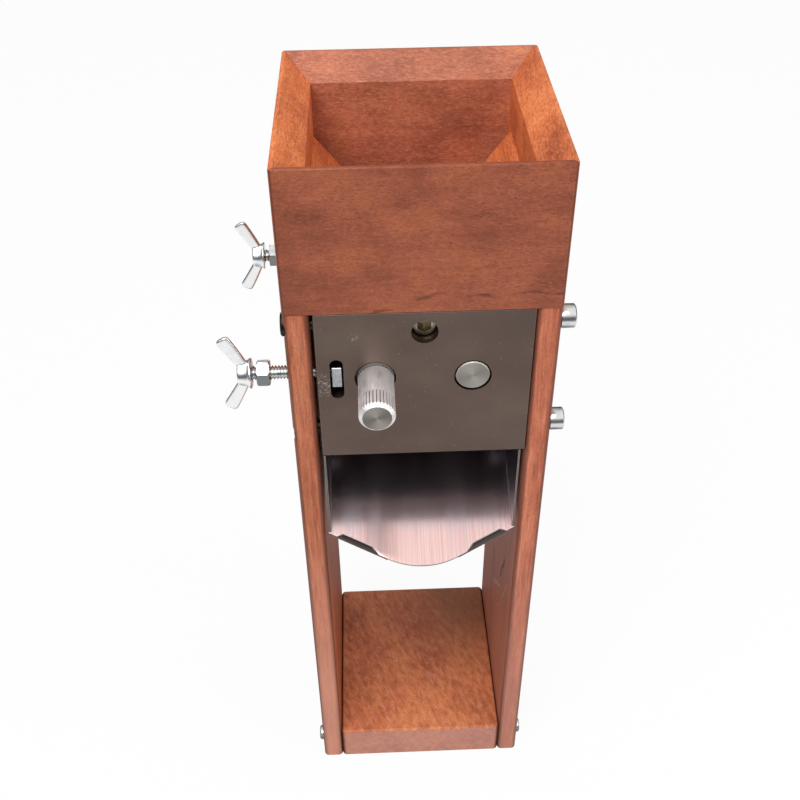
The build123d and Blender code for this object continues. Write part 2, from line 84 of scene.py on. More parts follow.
def set_stops(ramp, places, tones):
    """Gives a colour ramp its stops, at places from 0 to 1 and in sRGB hex tones."""
    elements = ramp.color_ramp.elements
    while len(elements) < len(places):
        elements.new(1.0)
    for element, place, tone in zip(elements, places, tones):
        element.position = place
        element.color = linear(tone)
    return ramp.outputs["Color"]


def new_material(name):
    """An empty node material, and a function that adds nodes to it as add does."""
    made = bpy.data.materials.new(name)
    made.use_nodes = True
    made.node_tree.nodes.clear()
    return made, partial(add, made.node_tree)


def finish_material(node, colour, roughness, metallic, relief, **sockets):
    """Puts a Principled shader and the output at the end of a material. Relief is the height that
    bumps its surface, the strength, and the depth in millimetres."""
    height, strength, depth = relief
    bump = node("Bump", {"Height": height, "Strength": strength, "Distance": depth * MM})
    inputs = {"Base Color": colour, "Roughness": roughness, "Metallic": metallic, "Normal": bump}
    node("OutputMaterial", {"Surface": node("BsdfPrincipled", {**inputs, **sockets})}, output=None)


def grained(node, vector, size, detail=2.0, roughness=0.5, distortion=0.0):
    """Noise whose features measure size, in millimetres along the pattern's x, y and z."""
    scaled = node("VectorMath", (vector, [1 / (s * MM) for s in size]), operation="MULTIPLY")
    look = {"Detail": detail, "Roughness": roughness, "Distortion": distortion}
    return node("TexNoise", {"Vector": scaled, "Scale": 1.0, **look})


def layered(node, ground, *layers):
    """Lays colours over a ground one after another, each by its share. A colour is hex or a socket."""
    ground = linear(ground) if isinstance(ground, str) else ground
    for share, colour in layers:
        colour = linear(colour) if isinstance(colour, str) else colour
        ground = node("Mix", {0: share, 6: ground, 7: colour}, output=2, data_type="RGBA")
    return ground


def object_place(node, rotation=(0, 0, 0), location=(0, 0, 0), lean=0.0):
    """Object coordinates, turned so that a pattern's length lies along x, and then leant."""
    place = node("TexCoord", output="Object")
    turned = node("Mapping", {"Vector": place, "Rotation": rotation, "Location": location})
    if lean:
        turned = node("Mapping", {"Vector": turned, "Rotation": (0, 0, math.radians(lean))})
    return turned


# ----------------------------------------------------------------------- materials
def stroke(node, place, start, end, width):
    """How near a place on a board's broad face is to a line between two points, in millimetres: one
    on the line and zero at its width, with a ragged side and soft ends."""
    start, end, across = Vector(start), Vector(end), Vector((1, 0, 0))
    run = (end - start).normalized()
    off = node("VectorMath", (place, start * MM), operation="SUBTRACT")
    ahead, aside, out = [
        node("VectorMath", (off, axis), output="Value", operation="DOT_PRODUCT")
        for axis in (run, run.cross(across), across)
    ]
    ragged = node("Math", (grained(node, place, (9, 9, 9), detail=3), 0.5), operation="SUBTRACT")
    aside = node("Math", (ragged, 5 * width * MM, aside), operation="MULTIPLY_ADD")
    aside = node("Math", (aside,), operation="ABSOLUTE")
    near = node("MapRange", (aside, width * MM, width * 0.3 * MM))
    length = (end - start).length * MM
    for low, high in ((0, 2 * MM), (length, length - 2 * MM)):
        near = node("Math", (near, node("MapRange", (ahead, low, high))), operation="MULTIPLY")
    out = node("Math", (out,), operation="ABSOLUTE")
    on_face = node("MapRange", (out, 1.5 * MM, MM))
    return node("Math", (near, on_face), operation="MULTIPLY")


def growth_lines(node, here, centre, stretch, reach):
    """Thin broken lines within reach of a place that bend round it: the distance from it, measured
    on an ellipse and bent by noise, is folded into lines 14 mm apart and 2 mm wide."""
    shifted = [-c * k * MM for c, k in zip(centre, stretch)]
    away = node("Mapping", {"Vector": here, "Location": shifted, "Scale": stretch})
    far = node("VectorMath", (away,), output="Value", operation="LENGTH")
    noise = grained(node, here, (16, 16, 16))
    bent = node("Math", (noise, 12 * MM, far), operation="MULTIPLY_ADD")
    folded = node("Math", (bent, 6.8 * MM), operation="PINGPONG")
    line = node("MapRange", (folded, 1.1 * MM, 0.0))
    broken = node("MapRange", (grained(node, here, (9, 9, 4)), 0.40, 0.54))
    line = node("Math", (line, broken), operation="MULTIPLY")
    near = node("MapRange", (far, reach * MM, reach * MM * 0.6))
    return node("Math", (line, near), operation="MULTIPLY")


def oiled_hardwood(
    name,
    grain,
    tones,
    shift,
    lean=0.0,
    fleck=(2.2, 0.7),
    figured=0.3,
    streak=0.5,
    foot=None,
    end=None,
    shade_patch=None,
    rings=None,
    joint=None,
    lines=(),
):
    """Reddish tropical hardwood, planed and oiled, with a soft sheen. Sizes are in millimetres.
    - grain: the axis of its fibres, and lean: how far they turn in the board's plane, in degrees
    - tones: four from the darkest cloud to the most orange one, the pores, and the pale flecks
    - shift: a number that moves the pattern, so that no two boards are alike
    - fleck: the length and width of the short marks, and figured: their strength
    - streak: the share of the long bands in the figure, against the clouds
    - foot: the tone that its front edge fades to low down, and end: the tone of its end grain
    - stain: the place and reach of a dark patch of painted shade
    - rings: the place, stretch and reach of thin dark growth lines that bend
    - joint: how far from the middle the base meets the boards, where a dark line of painted shadow runs
    - lines: painted reflection streaks, dark and pale, on a face, each two points, width and tone; the
      face that looks along -x is also greyed by a painted sheen"""
    made, node = new_material(name)
    place = object_place(node, ALONG[grain], [shift * k for k in (0.31, 0.17, 0.23)], lean)
    here = node("TexCoord", output="Object")
    pore_tone, fleck_tone = tones[4:]
    # growth bands about 7 mm wide that run for 90 mm and wander, with streaks of 1.8 mm in them
    bands = grained(node, place, (90, 7, 9), detail=3, roughness=0.55, distortion=0.5)
    streaks = grained(node, place, (45, 1.8, 1.8), distortion=0.2)
    bands = node("Mix", {0: 0.42, 2: bands, 3: streaks})
    # cloudy patches of 26 to 34 mm
    clouds = grained(node, place, (34, 26, 26), detail=4, roughness=0.6)
    figure = node("Mix", {0: streak, 2: clouds, 3: bands})
    ramp = node("ValToRGB", {"Fac": figure}, output=None)
    colour = set_stops(ramp, (0.36, 0.46, 0.54, 0.64), tones[:4])
    # short lens shaped marks, darker and lighter than the ground
    marks = grained(node, place, (*fleck, fleck[1]), detail=3, roughness=0.6, distortion=0.3)
    dark = node("MapRange", (marks, 0.50, 0.32, 0.0, figured * 1.2))
    light = node("MapRange", (marks, 0.52, 0.72, 0.0, figured))
    colour = layered(node, colour, (dark, pore_tone), (light, fleck_tone))
    # fine grit of the sanded and oiled surface, 1.1 by 0.5 mm (the real one is about 0.2 mm)
    grit = grained(node, place, (1.1, 0.5, 0.5), roughness=0.75)
    shade = node("MapRange", (grit, 0.3, 0.7, 0.80, 1.19))
    grey = node("CombineColor", (shade, shade, shade))
    colour = node("Mix", {0: 1.0, 6: colour, 7: grey}, output=2, data_type="RGBA", blend_type="MULTIPLY")
    # pores 0.4 mm wide and 2.6 mm long, gathered in patches
    pores = grained(node, place, (2.6, 0.4, 0.4), detail=1, roughness=0.4)
    pores = node("MapRange", (pores, 0.62, 0.72))
    gather = node("MapRange", (grained(node, place, (30, 9, 9), detail=1), 0.42, 0.62))
    pores = node("Math", (pores, gather), operation="MULTIPLY")
    filled = node("Math", (pores, 0.6), operation="MULTIPLY")
    # sanded roundings between the front and the sides took more oil and are darker
    facing = node("SeparateXYZ", (node("NewGeometry", output="True Normal"),), output=None).outputs
    slant = node("Math", (facing[0], facing[1]), operation="MULTIPLY")
    slant = node("Math", (slant,), operation="ABSOLUTE")
    rounding = node("MapRange", (slant, 0.12, 0.42, 0.0, 0.75))
    colour = layered(node, colour, (filled, pore_tone), (rounding, pore_tone))
    if foot:
        low = node("MapRange", (node("SeparateXYZ", (here,), output=2), 190 * MM, 60 * MM, 0.0, 0.5))
        front = node("MapRange", (facing[1], -0.5, -0.9))
        low = node("Math", (low, front), operation="MULTIPLY")
        colour = layered(node, colour, (low, foot))
    if end:
        square = node("Math", (facing["XYZ".index(grain)],), operation="ABSOLUTE")
        square = node("MapRange", (square, 0.9, 0.98, 0.0, 0.55))
        colour = layered(node, colour, (square, end))
    if shade_patch:
        # painted shade: a dark patch round a given place, for shade that falls there
        middle, reach = shade_patch
        off = node("VectorMath", (here, Vector(middle) * MM), output="Value", operation="DISTANCE")
        off = node("Math", (clouds, -30 * MM, off), operation="MULTIPLY_ADD")
        patch_shade = node("MapRange", (off, reach * MM, 0.0, 0.0, 0.75))
        colour = layered(node, colour, (patch_shade, pore_tone))
    if rings:
        colour = layered(node, colour, (growth_lines(node, here, *rings), pore_tone))
    if joint:
        # painted shadow: a dark line along the sides of the base, where it meets the boards
        aside = node("Math", (node("SeparateXYZ", (here,)),), operation="ABSOLUTE")
        gap_shade = node("MapRange", (aside, (joint - 1.3) * MM, (joint - 0.5) * MM, 0.0, 0.85))
        colour = layered(node, colour, (gap_shade, "#3A2018"))
    if lines:
        # painted sheen: faces that look along -x are greyed, a painted reflection of the pale
        # surroundings in the oil, and the lines are painted reflection streaks
        inner = node("MapRange", (facing[0], -0.9, -0.98, 0.0, 0.32))
        strokes = [(stroke(node, here, *line), tone) for *line, tone in lines]
        colour = layered(node, colour, (inner, "#8C7672"), *strokes)
    height = node("Math", (grit, 0.5), operation="MULTIPLY")
    height = node("Math", (height, pores), operation="SUBTRACT")
    gloss = node("MapRange", (marks, 0.3, 0.7, 0.42, 0.50))
    oil = {"IOR": 1.45, "Specular IOR Level": 0.4}
    finish_material(node, colour, gloss, 0.0, (height, 0.3, 0.1), **oil)
    return made


def blackened_steel(name, tones, roughness, scars=()):
    """Ground steel, blackened and oiled: an even warm dark grey with a satin gloss, very faint
    clouds of the bath, and small bright nicks round the places listed in scars, each a point and a
    reach in millimetres."""
    made, node = new_material(name)
    place = object_place(node)
    clouds = grained(node, place, (30, 30, 22))
    base = set_stops(node("ValToRGB", {"Fac": clouds}, output=None), (0.3, 0.5, 0.7), tones)
    # nicks 0.5 mm wide and 1.6 mm long, and sparse specks of 0.4 mm
    tilted = object_place(node, (0, math.radians(52), 0), (0.013, 0, 0.007))
    nicks = node("MapRange", (grained(node, tilted, (1.6, 0.5, 0.5), detail=1), 0.56, 0.64))
    wear_and_painted_streaks = node("MapRange", (grained(node, place, (0.45, 0.45, 0.45), detail=0), 0.862, 0.885))
    for centre, reach in scars:
        off = node("VectorMath", (place, Vector(centre) * MM), output="Value", operation="DISTANCE")
        near = node("MapRange", (off, reach * MM, reach * MM * 0.35))
        near = node("Math", (nicks, near), operation="MULTIPLY")
        wear_and_painted_streaks = node("Math", (wear_and_painted_streaks, near), operation="MAXIMUM")
    bare = node("Math", (wear_and_painted_streaks, 0.85), operation="MULTIPLY")
    base = layered(node, base, (bare, "#C9C4BC"))
    grit = grained(node, place, (0.35, 0.35, 0.35))  # real grit is 0.05 mm
    gloss = node("MapRange", (clouds, 0.3, 0.7, roughness - 0.03, roughness + 0.03))
    height = node("Math", (grit, 0.5), operation="MULTIPLY")
    height = node("Math", (height, wear_and_painted_streaks), operation="SUBTRACT")
    finish_material(node, base, gloss, 1.0, (height, 0.12, 0.05))
    return made


def worn_edge(name, colour="#A39B93", roughness=0.3):
    """The bare bright line where a plated or blackened edge was deburred: silver, finely nicked."""
    made, node = new_material(name)
    nicks = grained(node, object_place(node), (1.1, 1.1, 1.1), detail=3, roughness=0.7)
    base = layered(node, colour, (node("MapRange", (nicks, 0.50, 0.66, 0.0, 0.9)), "#77706A"))
    finish_material(node, base, roughness, 1.0, (nicks, 0.3, 0.08))
    return made


def turned_steel(name, axis_at, side, face):
    """Bright steel turned on a lathe: rings of feed marks on its ends, with soft cones of painted
    highlight and shade out from the middle, and fine lines round its sides. Its faced ends are darker,
    which is painted shade."""
    made, node = new_material(name)
    place = object_place(node, location=[-v for v in axis_at])
    # feed marks: 0.45 mm on the ends and 0.4 mm along the sides (the real ones are half that)
    rings = node(
        "TexWave",
        {"Vector": place, "Scale": TURN / 20 / (0.45 * MM), "Distortion": 0.5, "Detail": 1.0},
        output="Fac",
        wave_type="RINGS",
        rings_direction="Y",
    )
    feed = grained(node, place, (300, 0.4, 300), roughness=0.6)
    blush = grained(node, place, (2.5, 6, 2.5))
    # painted shade: faces that look along the axis, the faced ends, take the darker end tone
    flat = node("SeparateXYZ", (node("NewGeometry", output="True Normal"),), output=1)
    flat = node("Math", (flat,), operation="ABSOLUTE")
    faced = node("MapRange", (flat, 0.90, 0.98))
    # painted highlight and shade: soft sectors from the middle, light above and below and darker to the
    # sides
    spot = node("SeparateXYZ", (place,), output=None).outputs
    angle = node("Math", (spot[0], spot[2]), operation="ARCTAN2")
    painted_cones = node("Math", (angle, 2.0, 0.7), operation="MULTIPLY_ADD")
    painted_cones = node("Math", (painted_cones,), operation="COSINE")
    painted_cones = node("MapRange", (painted_cones, -1.0, 1.0, 0.0, 0.5))
    ringed = node("Math", (rings, 0.35), operation="MULTIPLY")
    end = layered(node, face, (painted_cones, "#C6C2BA"), (ringed, "#6F6B66"))
    # the floors of the knurled grooves, 7.0 to 7.3 mm from the axis, are darker
    around = node("VectorMath", (place, (1, 0, 1)), operation="MULTIPLY")
    depth = node("VectorMath", (around,), output="Value", operation="LENGTH")
    depth = node("MapRange", (depth, 7.34 * MM, 7.02 * MM, 0.0, 0.9))
    sideways = node("MapRange", (flat, 0.5, 0.3))
    groove = node("Math", (depth, sideways), operation="MULTIPLY")
    blushed = node("MapRange", (blush, 0.45, 0.75, 0.0, 0.35))
    base = layered(node, side, (blushed, "#A9A59F"), (groove, "#57534F"), (faced, end))
    lined = node("Math", (feed, 1.2), operation="MULTIPLY")
    height = node("Math", (rings, lined), operation="ADD")
    gloss = node("MapRange", (feed, 0.3, 0.7, 0.53, 0.66))
    gloss = node("Mix", {0: faced, 2: gloss, 3: 0.34})
    finish_material(node, base, gloss, 1.0, (height, 0.3, 0.05))
    return made


def dark_roller_steel(name):
    """Hardened steel rollers, dark from the furnace and dulled by meal in their flutes."""
    made, node = new_material(name)
    place = object_place(node)
    bloom = grained(node, place, (9, 4, 9), detail=3)
    ramp = node("ValToRGB", {"Fac": bloom}, output=None)
    base = set_stops(ramp, (0.3, 0.5, 0.72), ("#3A3735", "#4C4846", "#5F5A56"))
    grit = grained(node, place, (0.5, 0.5, 0.5))
    finish_material(node, base, 0.42, 1.0, (grit, 0.2, 0.05))
    return made


def bright_zinc(name, cast=0.0, tones=("#C2C6CC", "#DEDFE0", "#E2DFD6"), under=None):
    """Steel with a bright zinc coat: silvery, faintly bluish and yellowish in patches, with the
    slightly uneven skin of a plated casting or a rolled thread. Cast runs from zero for a smooth
    skin to one for a rough and duller one. Under is a darker tone on the flats that face level or
    down, a painted reflection of dark ground below."""
    made, node = new_material(name)
    place = object_place(node)
    patches = grained(node, place, (3.5, 3.5, 3.5), detail=3)
    base = set_stops(node("ValToRGB", {"Fac": patches}, output=None), (0.3, 0.5, 0.7), tones)
    # painted reflection: the flats that face level or down take the darker under tone
    if under:
        level = node("SeparateXYZ", (node("NewGeometry", output="True Normal"),), output=2)
        base = layered(node, base, (node("MapRange", (level, 0.3, 0.1)), under))
    skin = grained(node, place, (0.7, 0.7, 0.7), detail=3, roughness=0.6)
    gloss = node("MapRange", (patches, 0.3, 0.7, 0.14 + cast * 0.06, 0.24 + cast * 0.08))
    finish_material(node, base, gloss, 1.0, (skin, 0.15 + 0.35 * cast, 0.08))
    return made


def brushed_stainless(name, slope):
    """Stainless sheet, brushed along its fall: long fine lines, a streaky silver gloss and a warm
    blush. The slope, in radians, lays the lines along the sheet."""
    made, node = new_material(name)
    place = object_place(node, (-slope, 0, 0))
    # brush lines 0.35 mm wide and 60 mm long (the real ones are about 0.1 mm)
    lines = grained(node, place, (0.35, 60, 60), roughness=0.6)
    wide = grained(node, place, (4, 120, 120))
    ramp = node("ValToRGB", {"Fac": lines}, output=None)
    base = set_stops(ramp, (0.32, 0.46, 0.56, 0.70), ("#E6BDB8", "#F2CBC6", "#F7D2CD", "#F9E1DD"))
    # painted reflection: the sheet under the rollers is darker and a little rougher, as if it mirrored
    # the dark space there, and the folded lips are painted dark, as if they mirrored the shaded base
    # below
    here = node("SeparateXYZ", (node("TexCoord", output="Object"),), output=1)
    dark_reflection_zone = node("Math", (wide, 6 * MM, here), operation="MULTIPLY_ADD")
    dark_reflection_zone = node("MapRange", (dark_reflection_zone, -51 * MM, -41 * MM, 0.0, 0.9))
    facing = node("SeparateXYZ", (node("NewGeometry", output="True Normal"),), output=None).outputs
    steep = node("MapRange", (facing[2], 0.62, 0.50))
    front = node("MapRange", (facing[1], -0.25, -0.40))
    lip = node("Math", (steep, front), operation="MULTIPLY")
    lip = node("Math", (lip, 0.9), operation="MULTIPLY")
    streaky = node("MapRange", (wide, 0.45, 0.7, 0.0, 0.5))
    base = layered(node, base, (streaky, "#DFC3C6"), (dark_reflection_zone, "#D2C8D0"), (lip, "#4A4544"))
    fine = node("MapRange", (lines, 0.3, 0.7, 0.15, 0.18))
    broad = node("MapRange", (wide, 0.4, 0.7, 0.0, 0.03))
    gloss = node("Math", (fine, broad), operation="ADD")
    gloss = node("Math", (dark_reflection_zone, 0.035, gloss), operation="MULTIPLY_ADD")
    finish_material(node, base, gloss, 1.0, (lines, 0.05, 0.02))
    return made


def sintered_bronze(name):
    """Oil filled bronze, pressed from powder: dark oily gold with tiny pits, painted darker still as
    shade in the gaps where it sits.
    """
    made, node = new_material(name)
    pits = grained(node, object_place(node), (0.5, 0.5, 0.5))
    ramp = node("ValToRGB", {"Fac": pits}, output=None)
    # painted shade: the tones are darker than the bronze itself, for the dark gaps it sits in
    base = set_stops(ramp, (0.3, 0.45, 0.7), ("#3B2E1E", "#5E4B30", "#78633F"))
    finish_material(node, base, 0.42, 1.0, (pits, 0.3, 0.05))
    return made


def beech_dowel(name):
    """Plain beech turned to a dowel: pale, with short darker ray flecks."""
    made, node = new_material(name)
    rays = grained(node, object_place(node, ALONG["Z"]), (2.5, 0.5, 0.5))
    ramp = node("ValToRGB", {"Fac": rays}, output=None)
    base = set_stops(ramp, (0.3, 0.55, 0.7), ("#D9B98C", "#CBA373", "#A97F52"))
    finish_material(node, base, 0.6, 0.0, (rays, 0.2, 0.08))
    return made


# ------------------------------------------------------------------------ surfaces
def grid_faces(rows, columns, closed=False):
    """Quads between neighbouring points of a grid of rows by columns. The columns wrap round, and
    the rows wrap round too where the grid is closed."""
    row, column = np.meshgrid(np.arange(rows if closed else rows - 1), np.arange(columns), indexing="ij")
    ahead, beside = (row + 1) % rows, (column + 1) % columns
    corners = ((row, column), (row, beside), (ahead, beside), (ahead, column))
    return np.stack([r * columns + c for r, c in corners], -1).reshape(-1, 4)


def mesh_object(name, points, faces, smooth=True):
    """A mesh object at the origin from an array of points in metres and an array of quads."""
    mesh = bpy.data.meshes.new(name)
    mesh.from_pydata(points.reshape(-1, 3).tolist(), [], faces.tolist())
    mesh.validate()
    mesh.polygons.foreach_set("use_smooth", np.full(len(mesh.polygons), smooth))
    made = bpy.data.objects.new(name, mesh)
    bpy.context.scene.collection.objects.link(made)
    return made


def revolved(profile, turns=64):
    """A profile of (along, radius) pairs carried round the first axis as a closed ring surface:
    the point at angle t is (along, radius cos t, radius sin t)."""
    profile = np.asarray(profile, float)
    t = np.linspace(0, TURN, turns, endpoint=False)
    along = np.repeat(profile[:, :1], turns, 1)
    points = np.stack([along, profile[:, 1:] * np.cos(t), profile[:, 1:] * np.sin(t)], -1)
    return points, grid_faces(len(profile), turns, closed=True)


def cast_wings(tip_up, tip_out, mid_out, neck, flare, thick_root, thick_tip):
    """Both wings as one bar. Its middle line is out = mid + (tip - mid) |u|^1.15 and up = tip u for u
    from -1 to 1, carried on straight past both tips. Each section across that line is a superellipse
    of power 4, its half width growing from neck to flare as |u|^0.5 and closing at the tips as
    (1 - q^4)^(1/4), and its thickness falling evenly from the middle to the tips."""
    rows, turns = 96, 40
    last, closing = 1.16, 0.18  # where u ends, and the part of it in which the tips close
    u = np.sin(np.linspace(-math.pi / 2, math.pi / 2, rows)) * last
    up = tip_up * u
    out = mid_out + (tip_out - mid_out) * np.abs(u) ** 1.15
    run_up, run_out = np.gradient(up), np.gradient(out)
    run = np.hypot(run_up, run_out)
    normal = np.stack([run_up / run, -run_out / run], -1)
    q = np.clip((np.abs(u) - (last - closing)) / closing, 0, 1)
    close = np.maximum(1 - q**4, 0) ** 0.25
    half = (neck + (flare - neck) * np.clip(np.abs(u), 0, 1) ** 0.5) * close
    thick = np.interp(np.abs(u), [0, 1], [thick_root / 2, thick_tip / 2]) * close**0.5
    t = np.linspace(0, TURN, turns, endpoint=False)
    wide = np.sign(np.cos(t)) * np.abs(np.cos(t)) ** 0.5
    deep = np.sign(np.sin(t)) * np.abs(np.sin(t)) ** 0.5
    middle = np.stack([out, up], -1)
    flat = middle[:, None, :] + (half[:, None] * wide)[..., None] * normal[:, None, :]
    return np.concatenate([flat, (thick[:, None] * deep)[..., None]], -1), grid_faces(rows, turns)


def merged_copy(name, parts):
    """Several closed surfaces, each a pair of points and faces, as one mesh object."""
    points, faces, start = [], [], 0
    for p, f in parts:
        points.append(p.reshape(-1, 3))
        faces.append(f + start)
        start += len(points[-1])
    return mesh_object(name, np.concatenate(points), np.concatenate(faces))


def applied(piece):
    """The piece with its modifiers applied to its mesh."""
    graph = bpy.context.evaluated_depsgraph_get()
    done = bpy.data.meshes.new_from_object(piece.evaluated_get(graph), depsgraph=graph)
    piece.modifiers.clear()
    piece.data = done
    return piece


def threaded_rod(name, start, stop, centre, radius, pitch, depth, dog_stop, dog_radius):
    """A rod along x with a right hand thread. Its radius at x and angle t is the crest radius less
    the depth times a flattened triangle wave of (x / pitch + t / one turn), held under a cone at
    both ends. A plain dog of its own radius goes on to the end of the piece."""
    turns, rows_in_pitch = 40, 14
    root = radius - depth
    x = np.linspace(start, stop, int((stop - start) / pitch * rows_in_pitch))
    t = np.linspace(0, TURN, turns, endpoint=False)
    phase = (x[:, None] / pitch + t / TURN) % 1.0
    wave = np.clip(np.abs(2 * phase - 1) * 1.25 - 0.10, 0, 1)
    cone = root + np.minimum(x - start, stop - x)
    r = np.minimum(radius - depth * wave, cone[:, None])
    ends = ((stop, root), (stop, dog_radius), (dog_stop, dog_radius), (dog_stop, 0))
    x = np.array([start, *x, *[place for place, _ in ends]])
    r = np.vstack([np.zeros((1, turns)), r, *[np.full((1, turns), float(size)) for _, size in ends]])
    along = np.repeat(x[:, None], turns, 1)
    points = np.stack([along, centre[0] + r * np.cos(t), centre[1] + r * np.sin(t)], -1)
    return mesh_object(name, points * MM, grid_faces(len(x), turns))


# ------------------------------------------------------------------------ dressing
def soften(node, width, edge=None, flat=False):
    """Joins a CAD node's loose triangles and rounds its sharp edges by a width in millimetres, as
    modifiers. The rounded strips may have a material of their own, and flat keeps the faces beside
    them shaded flat."""
    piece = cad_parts[node]
    weld = piece.modifiers.new("joined", "WELD")
    weld.merge_threshold = 0.002 * MM
    bevel = piece.modifiers.new("eased_edges", "BEVEL")
    bevel.width = width * MM
    bevel.segments = 2
    bevel.limit_method = "ANGLE"
    bevel.angle_limit = math.radians(35)
    if edge is not None:
        piece.data.materials.append(edge)
        bevel.material = len(piece.data.materials) - 1
    if flat:
        weighted = piece.modifiers.new("flat_shading", "WEIGHTED_NORMAL")
        weighted.weight = 100


def dress(nodes, material):
    """Gives CAD nodes one material."""
    for node in nodes:
        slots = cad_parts[node].data.materials
        slots.clear()
        slots.append(material)


def drop_into_place(piece, body, material, slot, *nodes):
    """Finishes a new piece: its material, its body and the nodes it stands for. Its slot argument is not
    used.
    """
    piece.data.materials.clear()
    piece.data.materials.append(material)
    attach(piece, body)
    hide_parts(*nodes)


# ---------------------------------------------------------------------- properties
def number(name, description, value, **limits):
    """A number that a user may change."""
    return bpy.props.FloatProperty(name=name, description=description, default=value, **limits)


class FlakerSizes(bpy.types.PropertyGroup):
    """Sizes and light levels that a user might change."""

    board_easing: number("Board easing", "Rounding of the sawn edges, in millimetres", 0.35, min=0.05)
    thread_pitch: number(
        "Thread pitch", "Drawn pitch of the studs, in millimetres (really 1.0)", 1.3, min=0.5
    )
    thread_depth: number(
        "Thread depth", "Depth of the adjuster studs' thread, in millimetres", 0.7, min=0.1
    )
    key_power: number("Key light", "Power of the large light above the front", 7.0, unit="POWER")
    fill_power: number("Fill light", "Power of the light on the right", 3.0, unit="POWER")
    sky_level: number("Sky level", "Strength of the even light from all round", 0.62, min=0)
    floor_colour: bpy.props.FloatVectorProperty(
        name="Floor",
        description="Colour of the floor",
        subtype="COLOR",
        size=4,
        min=0,
        max=1,
        default=linear("#F4F4F4"),
    )


def sizes():
    """The sizes and light levels of the open scene."""
    return bpy.context.scene.flaker


# ----------------------------------------------------------------------- operators
class FLAKER_OT_stage(bpy.types.Operator):
    """Make the camera, the lights, the pale floor and the white surroundings"""

    bl_idname = "flaker.stage"
    bl_label = "Stage"

    def execute(self, context):
        self.camera()
        self.surroundings()
        self.lights()
        self.floor()
        context.scene.view_settings.view_transform = "Standard"
        return {"FINISHED"}

    @staticmethod
    def camera():
        """Stands in front of the flaker and looks down on it, turned a little and hardly tilted."""
        place = Vector((-19.878, -385.917, 547.904)) * MM
        yaw, pitch, roll = 0.0310310197, 0.696672843, -0.0113597723  # radians
        data = bpy.data.cameras.new("photo_camera")
        data.sensor_width, data.lens = 36.0, 46.878  # mm
        eye = bpy.data.objects.new("photo_camera", data)
        bpy.context.scene.collection.objects.link(eye)
        level_out = math.cos(pitch)
        forward = Vector((math.sin(yaw) * level_out, math.cos(yaw) * level_out, -math.sin(pitch)))
        level = Vector((math.cos(yaw), -math.sin(yaw), 0))
        upward = level.cross(forward)
        right = level * math.cos(roll) + upward * math.sin(roll)
        up = -level * math.sin(roll) + upward * math.cos(roll)
        turn = Matrix((right, up, -forward)).transposed()
        eye.matrix_world = Matrix.Translation(place) @ turn.to_4x4()
        bpy.context.scene.camera = eye

    @staticmethod
    def surroundings():
        """White to the camera and in reflections, and a plain even light for everything else."""
        world = bpy.data.worlds.new("white_studio")
        bpy.context.scene.world = world
        world.use_nodes = True
        world.node_tree.nodes.clear()
        node = partial(add, world.node_tree)
        ray = node("LightPath", output=None).outputs
        seen = node("Math", (ray["Is Camera Ray"], ray["Is Glossy Ray"]), operation="MAXIMUM")
        seen = node("Math", (seen, ray["Is Transmission Ray"]), operation="MAXIMUM")
        strength = node("MapRange", (seen, 0.0, 1.0, sizes().sky_level, 1.0))
        # in reflections the studio is dimmer low behind the flaker and at the level of the horizon
        toward = node("TexCoord", output="Generated")
        behind = node("VectorMath", (toward, (0, 0.93, 0.37)), output="Value", operation="DOT_PRODUCT")
        behind = node("MapRange", (behind, 0.55, 0.95, 1.0, 0.5))
        level = node("Math", (node("SeparateXYZ", (toward,), output=2),), operation="ABSOLUTE")
        level = node("MapRange", (level, 0.25, 0.60, 0.15, 1.0))
        dim = node("Math", (behind, level), operation="MULTIPLY")
        dim = node("Mix", {0: ray["Is Glossy Ray"], 2: 1.0, 3: dim})
        strength = node("Math", (strength, dim), operation="MULTIPLY")
        sky = node("Background", {"Color": (1, 1, 1, 1), "Strength": strength})
        node("OutputWorld", {"Surface": sky}, output=None)

    @staticmethod
    def lights():
        """A large soft light above the front left and a weaker one on the right."""
        target = Vector((0, 0, 0.2))
        for name, power, size, place in (
            ("key_light", sizes().key_power, 0.7, Vector((-0.35, -0.55, 1.10))),
            ("fill_light", sizes().fill_power, 0.6, Vector((0.8, -0.4, 0.55))),
        ):
            data = bpy.data.lights.new(name, "AREA")
            data.energy = power
            data.size = size
            lamp = bpy.data.objects.new(name, data)
            bpy.context.scene.collection.objects.link(lamp)
            aim = (target - place).to_track_quat("-Z", "Y")
            lamp.matrix_world = Matrix.Translation(place) @ aim.to_matrix().to_4x4()

    @staticmethod
    def floor():
        """A wide level sheet that reads white and still takes the flaker's shadow."""
        far, low = 6.0, -0.05 * MM
        corners = np.array([[-far, -far, low], [far, -far, low], [far, far, low], [-far, far, low]])
        sheet = mesh_object("floor", corners, np.array([[0, 1, 2, 3]]), smooth=False)
        made, node = new_material("pale_matt_paper")
        ray = node("LightPath", output=None).outputs
        mirrored = node("Math", (ray["Is Glossy Ray"], ray["Is Transmission Ray"]), operation="MAXIMUM")
        seen = node("Math", (ray["Is Camera Ray"], 0.93), operation="MULTIPLY")
        reflected = node("Math", (mirrored, 0.9), operation="MULTIPLY")
        share = node("Math", (seen, reflected), operation="MAXIMUM")
        matt = node("BsdfDiffuse", {"Color": sizes().floor_colour})
        # seen in metal, the sheet is bright before the flaker, shaded under it and dark at the walls
        away = node("TexCoord", output="Object")
        away = node("VectorMath", (away,), output="Value", operation="LENGTH")
        walls = node("MapRange", (away, 0.55, 1.30, 1.0, 0.12))
        under = node("MapRange", (away, 0.10, 0.27, 0.18, 1.0))
        dimmed = node("Math", (walls, under), operation="MULTIPLY")
        strength = node("Mix", {0: mirrored, 2: 1.0, 3: dimmed})
        glow = node("Emission", {"Color": (1, 1, 1, 1), "Strength": strength})
        lit = node("MixShader", (share, matt, glow))
        node("OutputMaterial", {"Surface": lit}, output=None)
        sheet.data.materials.append(made)


